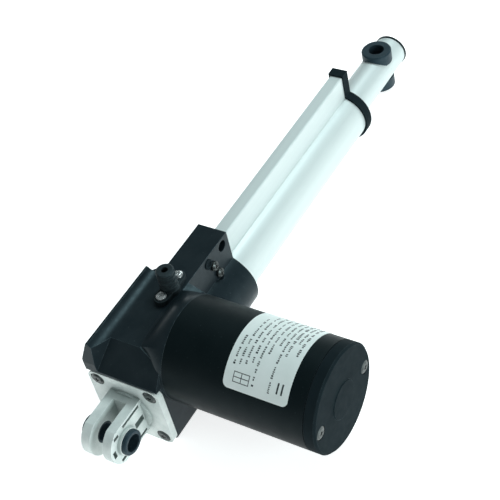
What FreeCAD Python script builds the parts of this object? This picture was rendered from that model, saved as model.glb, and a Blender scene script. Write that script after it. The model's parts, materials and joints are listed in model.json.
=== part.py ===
import FreeCAD, Part
import math
import os
import re

import Sketcher

# A worm-drive linear actuator with its motor at right angles to the tube.
# Millimetres. The origin is the centre of the rear clevis pin, +X runs along the
# tube to the rod end, +Z points to the tube's ridge and the motor lies towards -Y.
# Every sub-part becomes one STEP file named after its Label.

Vector = FreeCAD.Vector

# ---------------------------------------------------------------- driving sizes
SIZES = [
    # strokes, pins and the two fastening points
    ("stroke", 150),
    ("hole_to_hole", 315),
    ("pin_radius", 5),
    ("shaft_gap", 0.04),
    # rear clevis
    ("ear_half_height", 12),
    ("ear_tip_radius", 13),
    ("ear_inner", 4.1),
    ("ear_outer", 9.5),
    ("ear_boss", 11.5),
    ("fork_floor", 13.2),
    ("rear_flange_radius", 7),
    ("rear_flange_thickness", 2.6),
    ("bush_collar_radius", 6),
    ("plate_rear", 18.5),
    ("plate_front", 22.5),
    ("plate_half_width", 22.4),
    ("plate_half_height", 21.4),
    ("plate_screw_offset", 16.5),
    ("plate_screw_depth", 11),
    ("screw_sink", 1.6),
    ("pocket_floor", 6.5),
    # gearbox casting
    ("block_half_width", 22.4),
    ("block_bottom", 21.5),
    ("block_front", 78),
    ("lip_rear", 18.7),
    ("lip_bottom", 21.9),
    ("flat_top", 39.4),
    ("slope_front", 31),
    ("rib_top", 42.3),
    ("rib_inner", 16.3),
    ("rib_foot", 9.2),
    ("rib_fillet", 10.14),
    ("rib_turn", 5.6),
    ("rib_end_top", 20.5),
    ("root_bow", 1),
    ("root_run", 2.3),
    ("sleeve_radius", 21),
    ("sleeve_front", 117.4),
    ("sleeve_ridge_half", 9),
    ("shoulder_front", 85.4),
    # outer tube with its ridge, and the cap on its end
    ("tube_radius", 16),
    ("tube_bore", 14),
    ("tube_rear", 77.2),
    ("tube_front", 266.4),
    ("ridge_half", 4),
    ("ridge_top", 31.7),
    ("channel_half", 2.6),
    ("channel_top", 29.8),
    ("cap_rear", 263),
    ("cap_front", 269.3),
    ("cap_radius", 17.6),
    # sliding rod
    ("rod_radius", 10.5),
    ("rod_bore", 8.5),
    ("rod_front", 332.5),
    ("front_flange_radius", 9.6),
    ("front_flange_top", 14),
    # lead screw and nut
    ("thread_lead", 4),
    ("thread_tip", 6),
    ("thread_root", 4.6),
    ("thread_start", 79),
    ("thread_end", 259),
    ("nut_rear", 80),
    ("nut_shoulder", 98),
    ("nut_front", 108),
    ("nut_radius", 13.6),
    ("nut_pin_step", 5),
    ("shaft_end", 269),
    ("stop_shoulder", 262),
    ("stop_bore", 3.5),
    # worm gear
    ("worm_x", 52),
    ("worm_z", 22),
    ("gear_module", 1.1),
    ("wheel_teeth", 30),
    ("wheel_half_width", 7),
    ("worm_tip", 6.5),
    ("worm_core", 4.1),
    ("worm_half_length", 13),
    ("gear_cavity", 19),
    ("worm_tunnel", 8.3),
    # motor: distances run towards -Y from the tube's axis
    ("motor_shaft", 4),
    ("cover_start", 24),
    ("cover_end", 105),
    ("cover_radius", 28.7),
    ("cover_wall", 1.7),
    ("end_face", 111.7),
    ("end_disc_rise", 0.6),
    ("can_radius", 26.4),
    ("can_start", 30),
    ("can_end", 100),
    ("end_screw_reach", 23),
    ("end_screw_shift", 1.8),
    # label on the motor cover: its angles run from +X over the top
    ("label_start", 32),
    ("label_arc", 116),
    ("label_length", 36),
    ("label_end", 96),
    ("label_corner", 3),
    ("label_thickness", 0.2),
    # brushes
    ("brush_inner", 9.12),
    ("brush_outer", 16),
    # cable gland
    ("gland_x", 70.2),
    ("gland_y", -3),
    ("gland_screw_pitch", 16),
    ("gland_ear_radius", 4.1),
    ("gland_ring", 5),
    ("gland_groove", 4.3),
    ("gland_flange_top", 42.4),
    ("gland_top", 55),
]

# centres that several pieces share, as pairs of expressions across their axis
PLATE_CORNERS = {
    "lower_right": ("-plate_screw_offset", "-plate_screw_offset"),
    "upper_right": ("-plate_screw_offset", "plate_screw_offset"),
    "lower_left": ("plate_screw_offset", "-plate_screw_offset"),
    "upper_left": ("plate_screw_offset", "plate_screw_offset"),
}
GLAND_EARS = {
    "rear": ("gland_x - gland_screw_pitch/2", "gland_y"),
    "front": ("gland_x + gland_screw_pitch/2", "gland_y"),
}
END_SCREWS = {
    "rear": ("worm_x - end_screw_reach", "worm_z + end_screw_shift"),
    "front": ("worm_x + end_screw_reach", "worm_z - end_screw_shift"),
}
CLAMPS = {"upper": ("100.2", "29.8"), "lower": ("103", "22")}
PLUG = ("96.6", "34.6")
MOTOR = ("worm_x", "worm_z")
MOTOR_AT = ("worm_x", "0", "worm_z")

# name, span along the fork and span in height of each cored pocket in an ear
EAR_POCKETS = [
    ("top", ("1", "15.5"), ("8.9", "10.7")),
    ("middle", ("9", "16.3"), ("-2", "2")),
    ("bottom", ("1", "15.5"), ("-10.7", "-8.9")),
    ("rear", ("-11.2", "-8.9"), ("-2.4", "2.4")),
    ("upper_rear", ("-7.4", "-3.6"), ("7.6", "9.6")),
    ("lower_rear", ("-7.4", "-3.6"), ("-9.6", "-7.6")),
]

# turn of the worm, in degrees, that puts its thread in the gaps of the wheel
WORM_PHASE = 270

doc = FreeCAD.newDocument("linear_actuator")
sheet = doc.addObject("Spreadsheet::Sheet", "Sizes")
for row, (alias, value) in enumerate(SIZES, start=1):
    sheet.set(f"A{row}", alias)
    sheet.set(f"B{row}", str(value))
    sheet.setAlias(f"B{row}", alias)
doc.recompute()

ALIASES = {alias for alias, value in SIZES}
PIECES = []


# ---------------------------------------------------------------- small helpers
def cell(expression):
    """Point every alias in an expression at the sheet."""
    def link(match):
        word = match.group(0)
        return f"Sizes.{word}" if word in ALIASES else word
    return re.sub(r"[a-z_]+", link, expression)


def size(alias):
    return float(sheet.get(alias))


def value_of(expression):
    """Let a spare cell of the sheet work an expression out."""
    sheet.set("D1", f"={expression}")
    sheet.recompute()
    return float(sheet.get("D1"))


def bind(thing, prop, expression):
    thing.setExpression(prop, cell(expression))


def place(thing, at):
    """Bind the three coordinates of a thing's placement."""
    for axis, expression in zip("xyz", at):
        bind(thing, f"Placement.Base.{axis}", expression)


TURN = {
    "X": FreeCAD.Rotation(Vector(0, 1, 0), 90),
    "Y": FreeCAD.Rotation(Vector(1, 0, 0), -90),
    "Z": FreeCAD.Rotation(),
}


def box(name, x, y, z):
    """A box between pairs of low and high expressions."""
    solid = doc.addObject("Part::Box", name)
    for prop, low_high in (("Length", x), ("Width", y), ("Height", z)):
        bind(solid, prop, f"({low_high[1]}) - ({low_high[0]})")
    place(solid, (x[0], y[0], z[0]))
    return solid


def rod(name, axis, radius, span, centre=("0", "0")):
    """A cylinder along an axis; centre holds the two other coordinates."""
    solid = doc.addObject("Part::Cylinder", name)
    bind(solid, "Radius", radius)
    bind(solid, "Height", f"({span[1]}) - ({span[0]})")
    at = list(centre)
    at.insert("XYZ".index(axis), span[0])
    solid.Placement.Rotation = TURN[axis]
    place(solid, at)
    return solid


def fuse(name, *solids):
    union = doc.addObject("Part::MultiFuse", name)
    union.Shapes = list(solids)
    return union


def cut(name, base, *tools):
    result = doc.addObject("Part::Cut", name)
    result.Base = base
    result.Tool = tools[0] if len(tools) == 1 else fuse(f"{name}_tools", *tools)
    return result


def common(name, first, second):
    result = doc.addObject("Part::MultiCommon", name)
    result.Shapes = [first, second]
    return result


def group(name, *solids):
    """Separate solids that share one node."""
    bundle = doc.addObject("Part::Compound", name)
    bundle.Links = list(solids)
    return bundle


def tube(name, axis, outer, inner, span, centre=("0", "0")):
    whole = rod(f"{name}_outside", axis, outer, span, centre)
    return cut(f"{name}_tube", whole, rod(f"{name}_inside", axis, inner, span, centre))


def rounded(name, base, radius, chosen):
    """Round the edges that a test on an edge's centre and direction chooses."""
    doc.recompute()
    edges = []
    for number, edge in enumerate(base.Shape.Edges, start=1):
        middle = edge.BoundBox.Center
        along = edge.tangentAt(edge.FirstParameter)
        if chosen(middle, along):
            edges.append((number, radius, radius))
    if not edges:
        raise RuntimeError(f"{name}: no edge to round")
    result = doc.addObject("Part::Fillet", name)
    result.Base = base
    result.Edges = edges
    return result


def piece(label, thing):
    """Register a finished sub-part under its own label."""
    thing.Label = label
    PIECES.append(thing)
    return thing


def solid_piece(label, shape, at=None, axis="Z"):
    """A sub-part whose shape has no primitive or sketch of its own."""
    feature = doc.addObject("Part::Feature", f"{label}_solid")
    feature.Shape = shape
    base = Vector(*at) if at else Vector()
    feature.Placement = FreeCAD.Placement(base, TURN[axis])
    return piece(label, feature)


def origin_plane(body, role):
    for plane in body.Origin.OriginFeatures:
        if plane.Role == role:
            return plane
    raise RuntimeError(f"no plane {role}")


def outline_sketch(body, role, outline):
    """A closed sketch of straight lines, each corner bound to the sheet."""
    sketch = body.newObject("Sketcher::SketchObject", f"{body.Name}_sketch")
    sketch.AttachmentSupport = [(origin_plane(body, role), "")]
    sketch.MapMode = "FlatFace"
    count = len(outline)
    for corner in range(count):
        start = Vector(corner, corner * corner, 0)
        following = (corner + 1) % count
        end = Vector(following, following * following, 0)
        sketch.addGeometry(Part.LineSegment(start, end), False)
    for corner in range(count):
        following = (corner + 1) % count
        sketch.addConstraint(Sketcher.Constraint("Coincident", corner, 2, following, 1))
    for corner, (across, up) in enumerate(outline):
        for kind, expression in (("DistanceX", across), ("DistanceY", up)):
            distance = Sketcher.Constraint(kind, -1, 1, corner, 1, value_of(expression))
            index = sketch.addConstraint(distance)
            sketch.setExpression(f"Constraints[{index}]", cell(expression))
    return sketch


def turned(name, axis, outline, at=("0", "0", "0")):
    """A turned solid. About X a corner is (along, radius), otherwise (radius, along)."""
    body = doc.addObject("PartDesign::Body", name)
    role = "XZ_Plane" if axis == "Z" else "XY_Plane"
    sketch = outline_sketch(body, role, outline)
    spin = body.newObject("PartDesign::Revolution", f"{name}_revolution")
    spin.Profile = sketch
    spin.ReferenceAxis = (sketch, ["H_Axis" if axis == "X" else "V_Axis"])
    spin.Angle = 360
    body.Tip = spin
    place(body, at)
    return body


def prism(name, role, outline, span):
    """A padded outline. The span runs along the normal of the origin plane."""
    body = doc.addObject("PartDesign::Body", name)
    sketch = outline_sketch(body, role, outline)
    bind(sketch, "AttachmentOffset.Base.z", span[0])
    pad = body.newObject("PartDesign::Pad", f"{name}_pad")
    pad.Profile = sketch
    bind(pad, "Length", f"({span[1]}) - ({span[0]})")
    body.Tip = pad
    return body


# ---------------------------------------------------------------- rear clevis
def rear_clevis():
    """Plate, fork and bush bosses cast in one piece, with cored pockets."""
    plate = box(
        "plate_block",
        ("plate_rear", "plate_front"),
        ("-plate_half_width", "plate_half_width"),
        ("-plate_half_height", "plate_half_height"),
    )
    plate = rounded("plate_corners", plate, 5.0, lambda middle, along: abs(along.x) > 0.9)
    spigot = rod("plate_spigot", "X", "gear_cavity - 0.1", ("plate_front", "plate_front + 2"))
    disc = rod("plate_disc", "X", "13.4", ("plate_rear - 1.5", "plate_rear"))
    web = box(
        "fork_web",
        ("0", "plate_rear"),
        ("-ear_outer", "ear_outer"),
        ("-ear_half_height", "ear_half_height"),
    )
    tip = rod("fork_tip", "Y", "ear_tip_radius", ("-ear_outer", "ear_outer"))
    band = box(
        "fork_band",
        ("-ear_tip_radius", "plate_rear"),
        ("-ear_outer", "ear_outer"),
        ("-ear_half_height", "ear_half_height"),
    )
    tip = common("fork_tip_flat", tip, band)
    boss = rod("fork_boss", "Y", "rear_flange_radius + 0.6", ("-ear_boss", "ear_boss"))
    casting = fuse("clevis_casting", plate, spigot, disc, web, tip, boss)
    slot = box(
        "fork_slot",
        ("-ear_tip_radius - 2", "fork_floor"),
        ("-ear_inner", "ear_inner"),
        ("-ear_half_height - 2", "ear_half_height + 2"),
    )
    bore = rod("fork_bore", "Y", "bush_collar_radius + 0.02", ("-ear_boss - 1", "ear_boss + 1"))
    tools = [slot, bore]
    sides = {"left": ("pocket_floor", "ear_outer + 1"), "right": ("-ear_outer - 1", "-pocket_floor")}
    for side, across in sides.items():
        for where, along, up in EAR_POCKETS:
            tools.append(box(f"pocket_{side}_{where}", along, across, up))
    for name, centre in PLATE_CORNERS.items():
        through = ("plate_rear - 1", "plate_front + 1")
        sink = ("plate_rear - 1", "plate_rear + screw_sink")
        tools.append(rod(f"plate_hole_{name}", "X", "2.2", through, centre))
        tools.append(rod(f"plate_sink_{name}", "X", "4.1", sink, centre))
    return piece("rear_clevis", cut("clevis_cut", casting, *tools))


def clevis_screws():
    """Four pan-head screws through the plate into the casting."""
    profile = [
        ("plate_rear - 0.7", "0"),
        ("plate_rear - 0.7", "2.6"),
        ("plate_rear + 0.3", "3.9"),
        ("plate_rear + screw_sink", "3.9"),
        ("plate_rear + screw_sink", "2"),
        ("plate_front + plate_screw_depth", "2"),
        ("plate_front + plate_screw_depth", "0"),
    ]
    recess_span = ("plate_rear - 1", "plate_rear + 0.6")
    screws = []
    for name, centre in PLATE_CORNERS.items():
        shank = turned(f"clevis_shank_{name}", "X", profile, ("0", *centre))
        recess = cross_recess(f"clevis_recess_{name}", "X", recess_span, centre, "3.2")
        screws.append(cut(f"clevis_screw_{name}", shank, recess))
    return piece("clevis_screws", group("clevis_screw_set", *screws))


def cross_recess(name, axis, span, centre, width):
    """Two crossed bars that sink a cross recess into a screw head."""
    u, v = centre
    long = (f"-({width})/2", f"({width})/2")
    short = ("-0.35", "0.35")
    bars = []
    for first, second in ((long, short), (short, long)):
        sides = [
            (f"({u}) + ({first[0]})", f"({u}) + ({first[1]})"),
            (f"({v}) + ({second[0]})", f"({v}) + ({second[1]})"),
        ]
        sides.insert("XYZ".index(axis), span)
        bars.append(box(f"{name}_bar_{len(bars)}", *sides))
    return fuse(name, *bars)


def rear_bush(side, sign):
    """Flanged plastic bush pressed into one ear from outside."""
    profile = [
        ("pin_radius", f"{sign}(ear_inner + 0.05)"),
        ("bush_collar_radius", f"{sign}(ear_inner + 0.05)"),
        ("bush_collar_radius", f"{sign}(ear_boss)"),
        ("rear_flange_radius", f"{sign}(ear_boss)"),
        ("rear_flange_radius", f"{sign}(ear_boss + rear_flange_thickness - 0.5)"),
        ("rear_flange_radius - 0.5", f"{sign}(ear_boss + rear_flange_thickness)"),
        ("pin_radius", f"{sign}(ear_boss + rear_flange_thickness)"),
    ]
    return piece(f"rear_bush_{side}", turned(f"rear_bush_{side}_body", "Y", profile))


# ---------------------------------------------------------------- gearbox casting
def top_trough():
    """The space above the casting's flat, with a concave corner along the rib."""
    along = ("lip_rear - 8", "block_front + 8")
    corner_z = "flat_top + rib_fillet"
    floor = box("trough_floor", along, ("-40", "rib_foot"), ("flat_top", "80"))
    upper = box("trough_upper", along, ("-40", "rib_foot + rib_fillet"), (corner_z, "80"))
    round_corner = rod("trough_corner", "X", "rib_fillet", along, ("rib_foot", corner_z))
    return fuse("top_trough", floor, upper, round_corner)


def top_slope():
    """The space above the slope that falls from the flat to the rear edge."""
    rate = "(flat_top - 23)/(slope_front - lip_rear)"
    falling = [
        ("slope_front", "flat_top"),
        ("slope_front", "90"),
        ("10", "90"),
        ("10", f"flat_top - (slope_front - 10)*{rate}"),
    ]
    inside_rib = [
        ("10", "-60"),
        ("slope_front + 1", "-60"),
        ("slope_front + 1", "rib_foot"),
        ("slope_front", "rib_foot"),
        ("lip_rear", "rib_foot + rib_turn"),
        ("10", "rib_foot + rib_turn"),
    ]
    above = prism("slope_above", "XZ_Plane", falling, ("-60", "60"))
    inside = prism("slope_inside", "XY_Plane", inside_rib, ("0", "90"))
    return common("top_slope", above, inside)


def root_section(y, blend, drop=0.0):
    """Four arcs about the motor's axis, from a bowed square (0) to the round seat (1)."""
    x = size("worm_x")
    z = size("worm_z") - drop
    radius = size("cover_radius")
    corner = radius * math.sqrt(0.5)
    corner_up = size("flat_top") - size("worm_z")
    corner_up += (corner - corner_up) * blend
    side = corner + 0.8
    side += (radius - side) * blend
    top = size("flat_top") - size("worm_z") + size("root_bow")
    top += (radius - top) * blend
    points = [
        Vector(x - corner, y, z + corner_up),
        Vector(x, y, z + top),
        Vector(x + corner, y, z + corner_up),
        Vector(x + side, y, z),
        Vector(x + corner, y, z - corner_up),
        Vector(x, y, z - top),
        Vector(x - corner, y, z - corner_up),
        Vector(x - side, y, z),
    ]
    points.append(points[0])
    arcs = [Part.Arc(*points[first : first + 3]).toShape() for first in (0, 2, 4, 6)]
    return Part.Wire(arcs)


def motor_root():
    """Blend from the casting's straight top edge to the round seat of the motor."""
    inner_y = -size("sleeve_ridge_half")
    length = size("cover_start") - size("sleeve_ridge_half")
    sections = []
    for step in range(6):
        part_way = step / 5
        blend = math.sin(math.radians(90 * part_way))
        sections.append(root_section(inner_y - length * part_way, blend))
    root = doc.addObject("Part::Feature", "motor_root")
    root.Shape = Part.makeLoft(sections, True, False)
    # the foot of the blend: a low ramp that runs out into the flat
    drop = 2 * size("root_bow")
    ramp_sections = [root_section(inner_y, 0), root_section(inner_y + 2 * size("root_run"), 0, drop)]
    ramp = doc.addObject("Part::Feature", "motor_root_ramp")
    ramp.Shape = Part.makeLoft(ramp_sections, True, True)
    return fuse("motor_root_blend", root, ramp)


def gearbox_housing():
    """One casting: gear block, motor seat, tube sleeve with its ridge."""
    section = [
        ("-block_half_width", "-block_bottom"),
        ("block_half_width", "-block_bottom"),
        ("block_half_width", "30"),
        ("rib_inner + 1.1", "rib_top"),
        ("rib_inner - 8", "rib_top"),
        ("rib_inner - 8", "flat_top"),
        ("-sleeve_ridge_half", "flat_top"),
        ("-17", "36"),
        ("-block_half_width", "33"),
    ]
    block = prism("block_section", "YZ_Plane", section, ("lip_rear", "block_front"))

    def lower_corner(middle, along):
        return abs(along.x) > 0.9 and middle.z < -20

    block = rounded("block_corners", block, 3.0, lower_corner)
    rib_end_outline = [
        ("10", "28"),
        ("lip_rear", "28"),
        ("rib_end_top", "rib_top + 1"),
        ("10", "rib_top + 1"),
    ]
    rib_end = prism("rib_end", "XZ_Plane", rib_end_outline, ("-30", "30"))
    block = cut("block_top", block, top_trough(), top_slope(), rib_end)
    sleeve = rod("sleeve_round", "X", "sleeve_radius", ("60", "sleeve_front"))
    ridge = box(
        "sleeve_ridge",
        ("60", "sleeve_front"),
        ("-sleeve_ridge_half", "sleeve_ridge_half"),
        ("0", "flat_top"),
    )
    shoulder_outline = [
        ("70", "8"),
        ("shoulder_front", "8"),
        ("shoulder_front", "sleeve_ridge_half"),
        ("block_front", "15.3"),
        ("70", "15.3"),
    ]
    shoulder = prism("sleeve_shoulder", "XY_Plane", shoulder_outline, ("0", "flat_top"))
    casting = fuse("casting_outside", block, motor_root(), sleeve, ridge, shoulder)

    plate_seat = box("plate_seat", ("10", "plate_front"), ("-30", "30"), ("-30", "lip_bottom"))
    tools = [plate_seat]
    tools.append(rod("gear_bore", "X", "gear_cavity", ("plate_front - 1", "63")))
    tools.append(rod("front_bearing_seat", "X", "14.03", ("62", "73")))
    tools.append(rod("bulkhead_bore", "X", "7", ("72", "78")))
    socket = ("tube_rear - 0.2", "sleeve_front + 1")
    ridge_width = ("-ridge_half - 0.03", "ridge_half + 0.03")
    tools.append(rod("tube_socket", "X", "tube_radius + 0.03", socket))
    tools.append(box("ridge_socket", socket, ridge_width, ("0", "ridge_top + 0.03")))
    tools.append(rod("worm_bore", "Y", "worm_tunnel", ("-cover_start - 1", "20.6"), MOTOR))
    tools.append(rod("front_plate_seat", "Y", "11.05", ("-cover_start - 1", "-19"), MOTOR))
    tools.append(rod("cable_duct", "Z", "2.6", ("12", "flat_top + 1"), ("gland_x", "gland_y")))
    plate_thread = ("plate_front - 1", "plate_front + plate_screw_depth + 1.5")
    for name, centre in PLATE_CORNERS.items():
        tools.append(rod(f"block_hole_{name}", "X", "2.02", plate_thread, centre))
    for name, centre in GLAND_EARS.items():
        tools.append(rod(f"gland_hole_{name}", "Z", "1.52", ("flat_top - 7", "flat_top + 1"), centre))
    side = "-sleeve_ridge_half"
    tools.append(rod("inspection_hole", "Y", "3.3", ("-14", f"{side} + 4"), ("111.1", "34.6")))
    tools.append(rod("plug_hole", "Y", "2.3", ("-14", f"{side} + 4"), PLUG))
    for name, centre in CLAMPS.items():
        tools.append(rod(f"clamp_hole_{name}", "Y", "1.62", ("-14", "-ridge_half - 0.05"), centre))
    tools.append(rod("clamp_pocket", "Y", "4.4", ("-24", side), CLAMPS["lower"]))
    return piece("gearbox_housing", cut("casting_cut", casting, *tools))


def clamp_screws():
    """Two cross-head screws that clamp the tube from the ridge's side."""
    side = "-sleeve_ridge_half"
    profile = [
        ("0", f"{side} - 2.2"),
        ("1.9", f"{side} - 2.2"),
        ("2.8", f"{side} - 1.4"),
        ("2.8", side),
        ("1.6", side),
        ("1.6", "-ridge_half - 0.1"),
        ("0", "-ridge_half - 0.1"),
    ]
    screws = []
    for name, centre in CLAMPS.items():
        shank = turned(f"clamp_shank_{name}", "Y", profile, (centre[0], "0", centre[1]))
        recess_span = (f"{side} - 3", f"{side} - 1")
        recess = cross_recess(f"clamp_recess_{name}", "Y", recess_span, centre, "3")
        screws.append(cut(f"clamp_screw_{name}", shank, recess))
    return piece("clamp_screws", group("clamp_screw_set", *screws))


def side_plug():
    """Push-in plug with a low rim round a sunk face."""
    side = "-sleeve_ridge_half"
    profile = [
        ("0", f"{side} - 0.1"),
        ("1.8", f"{side} - 0.1"),
        ("1.8", f"{side} - 0.6"),
        ("3", f"{side} - 0.6"),
        ("3", side),
        ("2.28", side),
        ("2.28", f"{side} + 3.8"),
        ("0", f"{side} + 3.8"),
    ]
    return piece("side_plug", turned("side_plug_body", "Y", profile, (PLUG[0], "0", PLUG[1])))


def cable_gland():
    """Rubber gland: a two-eared flange and a ringed stub with a cable bore."""
    centre = ("gland_x", "gland_y")
    foot = ("flat_top + 0.02", "gland_flange_top")
    pitch = ("gland_x - gland_screw_pitch/2", "gland_x + gland_screw_pitch/2")
    width = ("gland_y - gland_ear_radius", "gland_y + gland_ear_radius")
    parts = [box("gland_bar", pitch, width, foot), rod("gland_hub", "Z", "5.4", foot, centre)]
    outline = [("0", "gland_flange_top - 1"), ("gland_ring", "gland_flange_top - 1")]
    for rise in ("2.4", "6", "9.4"):
        outline.append(("gland_ring", f"gland_flange_top + {rise}"))
        outline.append(("gland_groove", f"gland_flange_top + {rise} + 0.4"))
        outline.append(("gland_groove", f"gland_flange_top + {rise} + 1.4"))
        outline.append(("gland_ring", f"gland_flange_top + {rise} + 1.8"))
    outline += [("gland_ring", "gland_top - 0.7"), ("gland_ring - 0.7", "gland_top"), ("0", "gland_top")]
    parts.append(turned("gland_stub", "Z", outline, (*centre, "0")))
    parts.append(rod("gland_spout", "Z", "2.55", ("flat_top - 5", "flat_top + 1"), centre))
    tools = [rod("gland_bore", "Z", "1.9", ("flat_top - 6", "gland_top + 1"), centre)]
    hole = ("flat_top - 1", "gland_flange_top + 1")
    for name, ear in GLAND_EARS.items():
        parts.append(rod(f"gland_ear_{name}", "Z", "gland_ear_radius", foot, ear))
        tools.append(rod(f"gland_ear_hole_{name}", "Z", "1.6", hole, ear))
    return piece("cable_gland", cut("gland_cut", fuse("gland_rubber", *parts), *tools))


def gland_screws():
    profile = [
        ("0", "flat_top - 6.5"),
        ("1.5", "flat_top - 6.5"),
        ("1.5", "gland_flange_top + 0.02"),
        ("2.9", "gland_flange_top + 0.02"),
        ("2.9", "gland_flange_top + 0.9"),
        ("1.9", "gland_flange_top + 1.7"),
        ("0", "gland_flange_top + 1.7"),
    ]
    recess_span = ("gland_flange_top + 0.7", "gland_flange_top + 3")
    screws = []
    for name, ear in GLAND_EARS.items():
        shank = turned(f"gland_shank_{name}", "Z", profile, (*ear, "0"))
        recess = cross_recess(f"gland_recess_{name}", "Z", recess_span, ear, "3")
        screws.append(cut(f"gland_screw_{name}", shank, recess))
    return piece("gland_screws", group("gland_screw_set", *screws))


# ---------------------------------------------------------------- outer tube and its end
def outer_tube():
    """Extruded round tube with a hollow ridge that holds the limit switches."""
    round_part = rod("tube_outside", "X", "tube_radius", ("tube_rear", "tube_front"))
    ridge_width = ("-ridge_half", "ridge_half")
    ridge = box("tube_ridge", ("tube_rear", "tube_front"), ridge_width, ("0", "ridge_top"))
    through = ("tube_rear - 1", "tube_front + 1")
    bore = rod("tube_bore_tool", "X", "tube_bore", through)
    channel = box("tube_channel", through, ("-channel_half", "channel_half"), ("0", "channel_top"))

    def ridge_edge(middle, along):
        return abs(along.x) > 0.9 and middle.z > 31

    whole = rounded("tube_ridge_edges", fuse("tube_section", round_part, ridge), 0.8, ridge_edge)
    return piece("outer_tube", cut("tube_cut", whole, bore, channel))


def tube_end_cap():
    span = ("cap_rear", "cap_front")
    round_part = rod("cap_round", "X", "cap_radius", span)
    ridge = box("cap_ridge", span, ("-ridge_half - 1", "ridge_half + 1"), ("0", "ridge_top + 1.5"))
    whole = fuse("cap_section", round_part, ridge)

    def front_edge(middle, along):
        return middle.x > size("cap_front") - 0.1

    whole = rounded("cap_edges", whole, 0.8, front_edge)
    seat = ("cap_rear - 1", "tube_front + 0.05")
    ridge_width = ("-ridge_half - 0.03", "ridge_half + 0.03")
    tools = [
        rod("cap_tube_seat", "X", "tube_radius + 0.03", seat),
        box("cap_ridge_seat", seat, ridge_width, ("0", "ridge_top + 0.03")),
        rod("cap_wiper_seat", "X", "13", ("cap_rear", "cap_front + 1")),
    ]
    return piece("tube_end_cap", cut("cap_cut", whole, *tools))


def rod_guides():
    """Plastic guide bush inside the tube's mouth and the rubber wiper in the cap."""
    guide = [
        ("250", "rod_radius + 0.06"),
        ("tube_front", "rod_radius + 0.06"),
        ("tube_front", "tube_bore - 0.03"),
        ("251", "tube_bore - 0.03"),
        ("250", "tube_bore - 1"),
    ]
    piece("guide_bush", turned("guide_bush_body", "X", guide))
    wiper = [
        ("tube_front + 0.1", "rod_radius + 1.2"),
        ("cap_front - 0.6", "rod_radius + 0.05"),
        ("cap_front + 0.5", "rod_radius + 0.05"),
        ("cap_front + 0.5", "rod_radius + 0.9"),
        ("cap_front - 0.1", "12.97"),
        ("tube_front + 0.1", "12.97"),
    ]
    piece("wiper_seal", turned("wiper_seal_body", "X", wiper))


def limit_switches():
    """Switch board along the ridge channel with a switch at each end of the stroke."""
    rear = "(nut_rear + 4)"
    front = "(nut_rear + 4 + stroke)"
    board = box("switch_board_plate", (rear, f"{front} + 15"), ("-2.2", "2.2"), ("28", "29.4"))
    piece("limit_switch_board", board)
    switches = []
    for name, start in (("rear", rear), ("front", front)):
        case = box(f"switch_case_{name}", (start, f"{start} + 10"), ("-2.3", "2.3"), ("22", "27.9"))
        plunger = rod(f"switch_plunger_{name}", "Z", "0.8", ("20.9", "23"), (f"{start} + 5", "0"))
        switches.append(fuse(f"limit_switch_{name}", case, plunger))
    piece("limit_switches", group("limit_switch_set", *switches))


# ---------------------------------------------------------------- sliding rod
def inner_tube():
    wall = tube("rod_wall", "X", "rod_radius", "rod_bore", ("nut_shoulder", "rod_front"))
    eye = rod("inner_eye", "Z", "bush_collar_radius + 0.02", ("-20", "20"), ("hole_to_hole", "0"))
    pins = rod("inner_pin_hole", "Y", "1.23", ("-20", "20"), ("nut_shoulder + nut_pin_step", "0"))
    return piece("inner_tube", cut("inner_tube_cut", wall, eye, pins))


def drive_nut(thread_tool):
    """Plastic nut with a finger that rides in the ridge channel and trips the switches."""
    body = turned(
        "nut_body",
        "X",
        [
            ("nut_rear", "thread_root + 0.25"),
            ("nut_front", "thread_root + 0.25"),
            ("nut_front", "rod_bore - 0.06"),
            ("nut_shoulder - 0.02", "rod_bore - 0.06"),
            ("nut_shoulder - 0.02", "nut_radius"),
            ("nut_rear + 1", "nut_radius"),
            ("nut_rear", "nut_radius - 1"),
        ],
    )
    finger_width = ("-channel_half + 0.3", "channel_half - 0.3")
    finger = box("nut_finger", ("nut_rear + 2", "nut_shoulder - 2"), finger_width, ("11", "20.5"))
    pin_hole = rod("nut_pin_hole", "Y", "1.23", ("-20", "20"), ("nut_shoulder + nut_pin_step", "0"))
    tool = doc.addObject("Part::Feature", "nut_thread_tool")
    tool.Shape = thread_tool
    return piece("drive_nut", cut("nut_cut", fuse("nut_blank", body, finger), pin_hole, tool))


def nut_pins():
    pins = []
    centre = ("nut_shoulder + nut_pin_step", "0")
    for side, span in (("right", ("-rod_radius + 0.1", "-6.7")), ("left", ("6.7", "rod_radius - 0.1"))):
        pins.append(rod(f"nut_pin_{side}", "Y", "1.2", span, centre))
    return piece("nut_pins", group("nut_pin_set", *pins))


def rod_end_plug():
    profile = [
        ("rod_front - 8", "0"),
        ("rod_front - 8", "rod_bore - 0.6"),
        ("rod_front - 7.4", "rod_bore - 0.04"),
        ("rod_front + 0.02", "rod_bore - 0.04"),
        ("rod_front + 0.02", "rod_radius + 0.4"),
        ("rod_front + 1.4", "rod_radius + 0.4"),
        ("rod_front + 2", "rod_radius - 0.4"),
        ("rod_front + 2", "0"),
    ]
    return piece("rod_end_plug", turned("rod_end_plug_body", "X", profile))


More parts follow.
